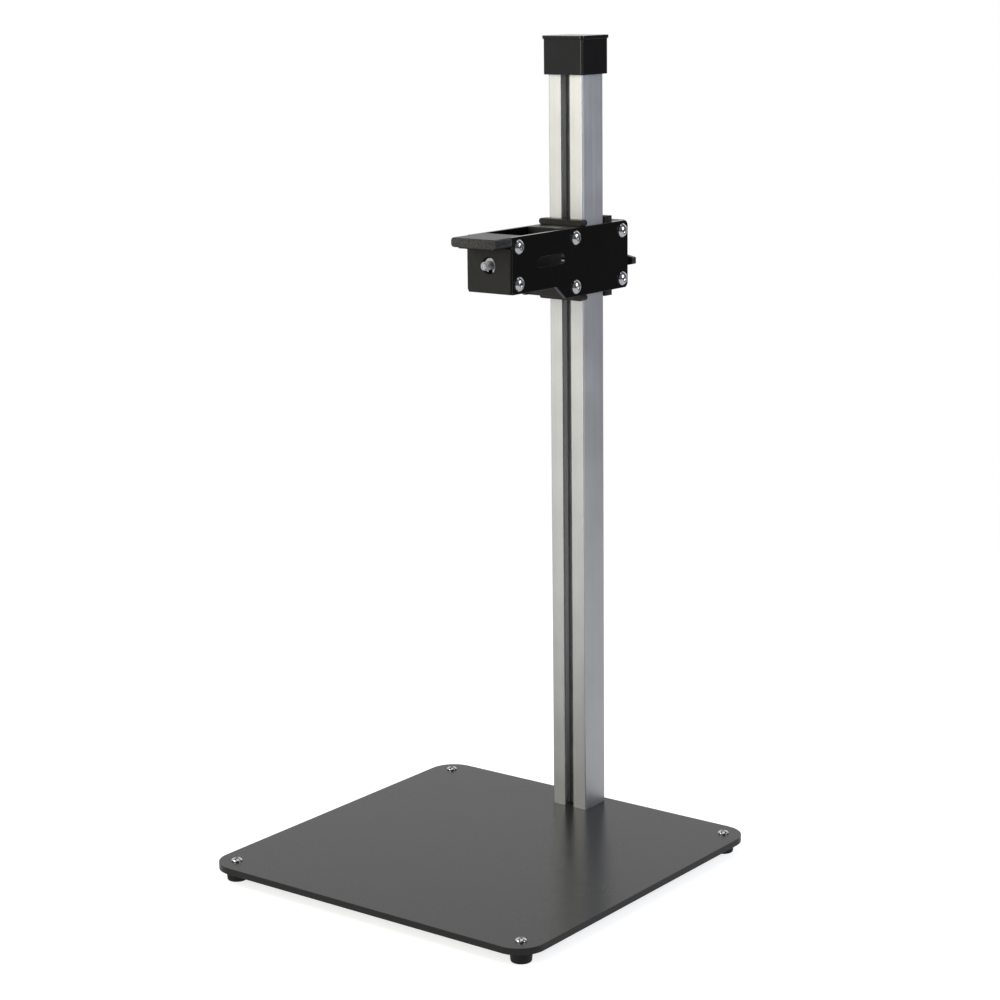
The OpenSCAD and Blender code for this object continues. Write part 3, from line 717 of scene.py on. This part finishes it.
armPieces = [
    # node, name, edge rounding in mm, finish, slot
    ("right_side_plate", "rightSidePlate", 0.35, "glossBlackPaint", "gloss_black_paint"),
    ("left_side_plate", "leftSidePlate", 0.35, "glossBlackPaint", "gloss_black_paint"),
    ("nose_block", "noseBlock", 0.4, "blastedBlackAluminium", "black_anodised_aluminium"),
    ("nose_pad", "nosePad", 0.25, "mouldedRubber", "black_rubber"),
    ("mount_face_pad", "mountFacePad", 0.4, "mouldedRubber", "black_rubber"),
    # front and rear blocks: the nose block's finish drawn darker, as painted shade
    ("front_block", "frontBlock", 0.4, "blackAluminiumPaintedShade", "black_anodised_aluminium"),
    ("rear_block", "rearBlock", 0.4, "blackAluminiumPaintedShade", "black_anodised_aluminium"),
    ("front_slide_pad", "frontSlidePad", 0.35, "machinedAcetal", "acetal"),
    ("right_glide_strip", "rightGlideStrip", 0.2, "naturalNylon", "white_nylon"),
    ("left_glide_strip", "leftGlideStrip", 0.2, "naturalNylon", "white_nylon"),
]
for node, name, edge, finish, slot in armPieces:
    fitted(smoothed(rounded(cadCopy(node, name), edge)), "carriage", finish, slot, node)

plateBolt = {
    "diameter": 5.9, "pitch": 1, "length": 16, "head": 10.2, "headHeight": 3.3, "rim": 0.6,
    "under": 0.15, "socket": 4, "socketDepth": 2, "socketTip": 0.4, "socketEdge": 0.3,
    "mouthOut": 0.35, "mouthIn": 0.05, "turnSpread": 50,
    # y and z of each bolt, from the front end to the rear
    "places": [
        (24.7, 436.4), (24.7, 410.4), (93, 436.4), (93, 401.1), (151.7, 436.4), (151.7, 401.1),
    ],
}


def makePlateBolt():
    size = plateBolt
    head, high, rim = size["head"] * mm, size["headHeight"] * mm, size["rim"] * mm
    socket, floor = size["socket"] * mm, (size["headHeight"] - size["socketDepth"]) * mm
    soft, edge = size["under"] * mm, size["socketEdge"] * mm
    mouth = socket / 2 / math.cos(math.pi / 6) + size["mouthOut"] * mm
    rings = [circle(head / 2 - soft, 0), circle(head / 2, soft)]
    rings += [circle(r, z) for r, z in domeProfile(head, high, rim, mouth, 10)]
    mouthHigh = rings[-1][0].z
    rings += [hexagon(socket + edge, mouthHigh - size["mouthIn"] * mm)]
    rings += [hexagon(socket, mouthHigh - edge), hexagon(socket, floor + edge)]
    rings += [circle(size["socketTip"] * mm, floor)]
    bolt = ringStack("plateBoltShape", rings)
    return smoothed(combined(bolt, shankOf(size)), sharpAngle=35)


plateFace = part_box("right_side_plate")[1].x
for side, name, node in (
    (1, "rightPlateBolts", "right_plate_bolts"), (-1, "leftPlateBolts", "left_plate_bolts"),
):
    bolts = repeated(
        name, makePlateBolt(), [(side * plateFace, y * mm, z * mm) for y, z in plateBolt["places"]],
        turn=(0, side * math.pi / 2, 0), finish="chromePlatedSteel",
        spin=math.radians(plateBolt["turnSpread"]), seed=11 + side)
    fitted(bolts, "carriage", "chromePlatedSteel", "chromed_steel", node)
print("arm done")


# Brake and its lock

for node, name, edge, finish, slot in (
    ("brake_lining", "brakeLining", 0.4, "mouldedRubber", "black_rubber"),
    ("brake_plate", "brakePlate", 0.4, "machinedAcetal", "acetal"),
):
    fitted(smoothed(rounded(cadCopy(node, name), edge)), "brake", finish, slot, node)

lock = {
    "thread": 5.9, "pitch": 1, "hub": 14, "hubTaper": 0.4, "hubFoot": 0.4, "hubEdge": 1.2,
    "pinHole": 0.5, "wall": 2,  # radius of the small hole in its back, and the wall there
    "armTip": 5.2, "armRoot": 13, "armThick": 4.5, "armBack": 1.8, "armCorner": 0.8,
    "armEdge": 0.5,
}
lockScrewLow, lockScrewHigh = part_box("lock_screw")
lockHeight = (lockScrewLow.z + lockScrewHigh.z) / 2


def makeLockKnob():
    low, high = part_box("lock_knob")
    length = high.y - low.y
    hub, edge = lock["hub"] * mm / 2, lock["hubEdge"] * mm
    bore, soft = lock["thread"] * mm / 2, lock["hubFoot"] * mm
    pinHole, wall = lock["pinHole"] * mm, lock["wall"] * mm
    profile = [(bore, 0), (hub - soft, 0), (hub, soft)]
    profile += arc(hub - lock["hubTaper"] * mm - edge, length - edge, edge, 0, 90)
    profile += [(pinHole, length), (pinHole, length - wall), (bore, length - wall)]
    knob = turned("lockKnob", profile, 64, closed=True)
    tip, root = lock["armTip"] * mm / 2, lock["armRoot"] * mm / 2
    reach, corner = (high.x - low.x) / 2, lock["armCorner"] * mm
    outline = []
    for side in (1, -1):
        # up the flat end of one arm, with its two rounded corners
        end = arc(reach - corner, corner - tip, corner, -90, 0)
        end += arc(reach - corner, tip - corner, corner, 0, 90)
        outline += [(side * x, side * y) for x, y in end] + [(0, side * root)]
    thick = lock["armThick"] * mm
    start = length - lock["armBack"] * mm - thick
    rings = [[Vector((x, y, z)) for x, y in outline] for z in (start, start + thick)]
    combined(knob, rounded(ringStack("lockArms", rings), lock["armEdge"]))
    laidAlong(knob, (0, 1, 0), (0, low.y, lockHeight))
    return smoothed(knob, sharpAngle=35)


fitted(makeLockKnob(), "lock", "filledNylon", "moulded_nylon", "lock_knob")
lockScrew = threadedRod(
    "lockScrew", lock["thread"] * mm, lock["pitch"] * mm,
    lockScrewLow.y, lockScrewHigh.y, steps=32)
laidAlong(lockScrew, (0, 1, 0), (0, 0, lockHeight))
smoothed(lockScrew, sharpAngle=50)
fitted(lockScrew, "lock", "zincPlatedSteel", "zinc_plated_steel", "lock_screw")
print("brake and lock done")


# Mount screw with its knob, clip and washer

mountScrew = {
    "diameter": 6.35, "pitch": 1.27, "neck": 5.05, "relief": 1.2, "height": 423,
    "underThread": 0.4,  # how far the plain neck reaches into the thread
    "clipPlay": 0.05, "edge": 0.2,
}
mountKnob = {
    "grooves": 24, "diameter": 24, "grooveDepth": 0.66, "edge": 0.7,
    "grooveFrom": -0.2,  # where on its cosine wave a groove starts
    "perGroove": 12,  # steps of the outline
    "coinSlot": 2, "coinCut": 30,  # width of the slot in its back, and length of its cutter
}
mountClip = {"edge": 0.12}
mountWasher = {"edge": 0.15}


def knobTree():
    tree = bpy.data.node_groups.new("groovedKnob", "GeometryNodeTree")
    sockets = [
        ("Grooves", "NodeSocketInt"), ("Groove depth", "NodeSocketFloat"),
        ("Groove from", "NodeSocketFloat"), ("Steps", "NodeSocketInt"),
        ("Radius", "NodeSocketFloat"), ("Length", "NodeSocketFloat"),
        ("Finish", "NodeSocketMaterial"),
    ]
    for name, kind in sockets:
        tree.interface.new_socket(name, in_out="INPUT", socket_type=kind)
    tree.interface.new_socket("Knob", in_out="OUTPUT", socket_type="NodeSocketGeometry")
    given = addNode(tree, "NodeGroupInput").outputs
    body = addNode(tree, "GeometryNodeMeshCylinder", {
        "Vertices": given["Steps"], "Radius": given["Radius"], "Depth": given["Length"],
    }).outputs["Mesh"]
    place = addNode(tree, "GeometryNodeInputPosition").outputs[0]
    parts = addNode(tree, "ShaderNodeSeparateXYZ", {"Vector": place}).outputs
    # a wave round the knob says how deep each point goes, and it goes straight inwards
    turn = addNode(tree, "ShaderNodeMath", {
        0: parts["Y"], 1: parts["X"],
    }, operation="ARCTAN2").outputs[0]
    turn = addNode(tree, "ShaderNodeMath", {
        0: turn, 1: given["Grooves"],
    }, operation="MULTIPLY").outputs[0]
    wave = addNode(tree, "ShaderNodeMath", {0: turn}, operation="COSINE").outputs[0]
    deep = addNode(tree, "ShaderNodeMapRange", {
        "Value": wave, "From Min": given["Groove from"], "From Max": 1.0,
        "To Max": given["Groove depth"],
    }, interpolation_type="SMOOTHSTEP").outputs["Result"]
    inwards = addNode(tree, "ShaderNodeMath", {0: deep, 1: -1.0}, operation="MULTIPLY").outputs[0]
    radial = addNode(tree, "ShaderNodeCombineXYZ", {"X": parts["X"], "Y": parts["Y"]}).outputs[0]
    radial = addNode(tree, "ShaderNodeVectorMath", {0: radial}, operation="NORMALIZE").outputs[0]
    offset = addNode(tree, "ShaderNodeVectorMath", {
        0: radial, "Scale": inwards,
    }, operation="SCALE").outputs[0]
    moved = addNode(tree, "GeometryNodeSetPosition", {
        "Geometry": body, "Offset": offset,
    }).outputs[0]
    real = addNode(tree, "GeometryNodeRealizeInstances", {"Geometry": moved}).outputs[0]
    dressed = addNode(tree, "GeometryNodeSetMaterial", {
        "Geometry": real, "Material": given["Finish"],
    })
    addNode(tree, "NodeGroupOutput", {"Knob": dressed.outputs[0]})
    return tree


def makeMountKnob():
    low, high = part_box("mount_screw_knob")
    length = high.y - low.y
    knob = linked("mountScrewKnob", bpy.data.meshes.new("mountScrewKnob"))
    runTree(knob, knobTree(), {
        "Grooves": mountKnob["grooves"], "Groove depth": mountKnob["grooveDepth"] * mm,
        "Groove from": mountKnob["grooveFrom"],
        "Steps": mountKnob["grooves"] * mountKnob["perGroove"],
        "Radius": mountKnob["diameter"] * mm / 2, "Length": length,
        "Finish": materials["filledNylon"],
    })
    knob.data.transform(Matrix.Translation((0, 0, length / 2)))
    rounded(knob, mountKnob["edge"])
    coin = linked("coinSlot", bpy.data.meshes.new("coinSlot"))
    work = bmesh.new()
    bmesh.ops.create_cube(work, size=1)
    work.to_mesh(coin.data)
    work.free()
    across, cut = mountKnob["coinSlot"] * mm, mountKnob["coinCut"] * mm
    size = Matrix.Diagonal((cut, across, 2 * across, 1))
    coin.data.transform(Matrix.Translation((0, 0, length)) @ size)
    combined(knob, coin, "DIFFERENCE")
    laidAlong(knob, (0, 1, 0), (0, low.y, mountScrew["height"] * mm))
    return smoothed(knob, sharpAngle=38)


def makeMountScrew():
    low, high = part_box("mount_screw")
    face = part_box("mount_face_pad")[0].y
    clipLow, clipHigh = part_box("mount_screw_clip")
    radius, neck = mountScrew["diameter"] * mm / 2, mountScrew["neck"] * mm / 2
    soft, play = mountScrew["edge"] * mm, mountScrew["clipPlay"] * mm
    reliefEnd = face + mountScrew["relief"] * mm
    seatLow, seatHigh = clipLow.y - play, clipHigh.y + play
    profile = [(neck, face - mountScrew["underThread"] * mm), (neck, reliefEnd)]
    profile += [(radius - soft, reliefEnd), (radius, reliefEnd + soft)]
    profile += [(radius, seatLow), (neck, seatLow), (neck, seatHigh), (radius, seatHigh)]
    profile += [(radius, high.y - soft), (radius - soft, high.y)]
    screw = turned("mountScrew", profile)
    rod = threadedRod("rod", 2 * radius, mountScrew["pitch"] * mm, low.y, face, steps=32)
    combined(screw, rod)
    laidAlong(screw, (0, 1, 0), (0, 0, mountScrew["height"] * mm))
    return smoothed(screw, sharpAngle=45)


fitted(makeMountScrew(), "mount_screw_set", "zincPlatedSteel", "zinc_plated_steel", "mount_screw")
fitted(makeMountKnob(), "mount_screw_set", "filledNylon", "moulded_nylon", "mount_screw_knob")
clip = smoothed(rounded(
    cadCopy("mount_screw_clip", "mountScrewClip"), mountClip["edge"], segments=2))
fitted(clip, "mount_screw_set", "zincPlatedSteel", "zinc_plated_steel", "mount_screw_clip")
washer = smoothed(rounded(
    cadCopy("mount_screw_washer", "mountScrewWasher"), mountWasher["edge"], segments=2))
fitted(washer, "mount_washer", "naturalNylon", "white_nylon", "mount_screw_washer")
print("mount screw done")


# Studio: white surround, pale floor and soft lamps

studio = {
    "diffuse": 0.55,  # level that matt surfaces see all round
    "glossy": 0.62,  # level that shiny surfaces see, before the lobes below
    "least": 0.03,  # the darkest that a shiny surface sees
    # direction, inner and outer angle in degrees, and what the lobe adds
    "lobes": [
        ((-0.6, 0.78, 0.2), 20, 75, 0.3),  # pale wall behind, on the left
        ((0.62, 0.77, -0.28), 14, 40, -0.55),  # dark card that the side plates mirror
        ((0.75, -0.65, 0.1), 15, 55, -0.5),  # dark room behind the viewer
        ((0, 0, 1), 25, 62, -0.58),  # dark ceiling
        ((0.5, 0.72, 0.5), 8, 22, -0.6),  # two small dark cards, for contrast in chrome
        ((1, -0.05, -0.25), 8, 20, -0.6),
        ((0.2, -0.5, 0.84), 6, 16, 1.2),  # small bright lamp, for sparkle on chrome
    ],
}
white = (1, 1, 1, 1)


def seenDirectly(tree, path):
    # 1 for what the viewer sees, also through glass
    return addNode(tree, "ShaderNodeMath", {
        0: path["Is Camera Ray"], 1: path["Is Transmission Ray"],
    }, operation="MAXIMUM").outputs[0]


def makeWorld():
    world = bpy.data.worlds.new("studio")
    world.use_nodes = True
    tree = world.node_tree
    tree.nodes.clear()
    path = addNode(tree, "ShaderNodeLightPath").outputs
    toward = addNode(tree, "ShaderNodeTexCoord").outputs["Generated"]
    level = studio["glossy"]
    for direction, inner, outer, amount in studio["lobes"]:
        axis = Vector(direction).normalized()
        aligned = addNode(tree, "ShaderNodeVectorMath", {
            0: toward, 1: axis,
        }, operation="DOT_PRODUCT").outputs["Value"]
        lobe = addNode(tree, "ShaderNodeMapRange", {
            "Value": aligned, "From Min": math.cos(math.radians(outer)),
            "From Max": math.cos(math.radians(inner)), "To Max": amount,
        }, interpolation_type="SMOOTHSTEP").outputs["Result"]
        level = addNode(tree, "ShaderNodeMath", {0: level, 1: lobe}, operation="ADD").outputs[0]
    level = addNode(tree, "ShaderNodeMath", {
        0: level, 1: studio["least"],
    }, operation="MAXIMUM").outputs[0]
    seen = addNode(tree, "ShaderNodeMapRange", {
        "Value": path["Is Glossy Ray"], "To Min": studio["diffuse"], "To Max": level,
    }).outputs["Result"]
    strength = addNode(tree, "ShaderNodeMapRange", {
        "Value": seenDirectly(tree, path), "To Min": seen, "To Max": 1.0,
    }).outputs["Result"]
    shade = addNode(tree, "ShaderNodeBackground", {"Color": white, "Strength": strength})
    addNode(tree, "ShaderNodeOutputWorld", {"Surface": shade.outputs[0]})
    bpy.context.scene.world = world


floor = {
    "radius": 1.5, "thickness": 0.002, "fadeFrom": 0.45, "fadeTo": 1.3,  # metres
    "paint": 0.5, "glow": 0.75,  # as the viewer sees it: grey that takes shadows, and added light
    "farAway": 1.0,  # the plain white that it fades to
    "matt": 0.55, "mirrored": 0.6,  # as matt and as shiny surfaces see it
}


def makeFloor():
    radius, top = floor["radius"], feetLow.z
    disc = turned("studioFloor", [(radius, top - floor["thickness"]), (radius, top)], 96)
    material = bpy.data.materials.new("palePaper")
    material.use_nodes = True
    tree = material.node_tree
    tree.nodes.clear()
    path = addNode(tree, "ShaderNodeLightPath").outputs
    place = addNode(tree, "ShaderNodeTexCoord").outputs["Object"]
    away = addNode(tree, "ShaderNodeVectorMath", {0: place}, operation="LENGTH").outputs["Value"]
    fade = addNode(tree, "ShaderNodeMapRange", {
        "Value": away, "From Min": floor["fadeFrom"], "From Max": floor["fadeTo"],
    }, interpolation_type="SMOOTHSTEP").outputs["Result"]
    papers = {}
    for key in ("paint", "matt"):
        grey = floor[key]
        papers[key] = addNode(tree, "ShaderNodeBsdfDiffuse", {
            "Color": (grey, grey, grey, 1),
        }).outputs[0]
    glows = {}
    for key in ("glow", "mirrored", "farAway"):
        glows[key] = addNode(tree, "ShaderNodeEmission", {
            "Color": white, "Strength": floor[key],
        }).outputs[0]
    lit = addNode(tree, "ShaderNodeAddShader", {0: papers["paint"], 1: glows["glow"]}).outputs[0]
    seen = addNode(tree, "ShaderNodeMixShader", {
        0: fade, 1: lit, 2: glows["farAway"],
    }).outputs[0]
    around = addNode(tree, "ShaderNodeMixShader", {
        0: path["Is Glossy Ray"], 1: papers["matt"], 2: glows["mirrored"],
    }).outputs[0]
    surface = addNode(tree, "ShaderNodeMixShader", {
        0: seenDirectly(tree, path), 1: around, 2: seen,
    }).outputs[0]
    addNode(tree, "ShaderNodeOutputMaterial", {"Surface": surface})
    disc.data.materials.append(material)


lamps = [
    # name, place, aim, width and height in metres, power in watts, colour
    ("frontLeftBox", (-0.7, -0.8, 1.2), (0, 0.1, 0.5), 0.7, 0.6, 8.5, "#fdf9e4"),
    ("frontBox", (-0.3, -1.5, 0.6), (0, 0.1, 0.3), 0.9, 1.0, 11, "#fdf9e4"),
    ("rightBox", (1.5, 0.45, 0.95), (0, 0.1, 0.45), 0.7, 0.9, 13.5, "#eaf1ff"),
    ("topBox", (0.1, 0.2, 1.9), (0, 0.1, 0.0), 1.2, 1.2, 4, "#ffffff"),
]


def addLamp(name, place, aim, width, height, power, colour):
    data = bpy.data.lights.new(name, "AREA")
    data.color = linearOf(colour)[:3]
    data.shape = "RECTANGLE"
    data.size = width
    data.size_y = height
    data.energy = power
    lamp = bpy.data.objects.new(name, data)
    lamp.location = place
    lamp.rotation_euler = (Vector(aim) - Vector(place)).to_track_quat("-Z", "Y").to_euler()
    lamp.visible_camera = False
    bpy.context.scene.collection.objects.link(lamp)


makeWorld()
makeFloor()
for lampValues in lamps:
    addLamp(*lampValues)
print("studio done")
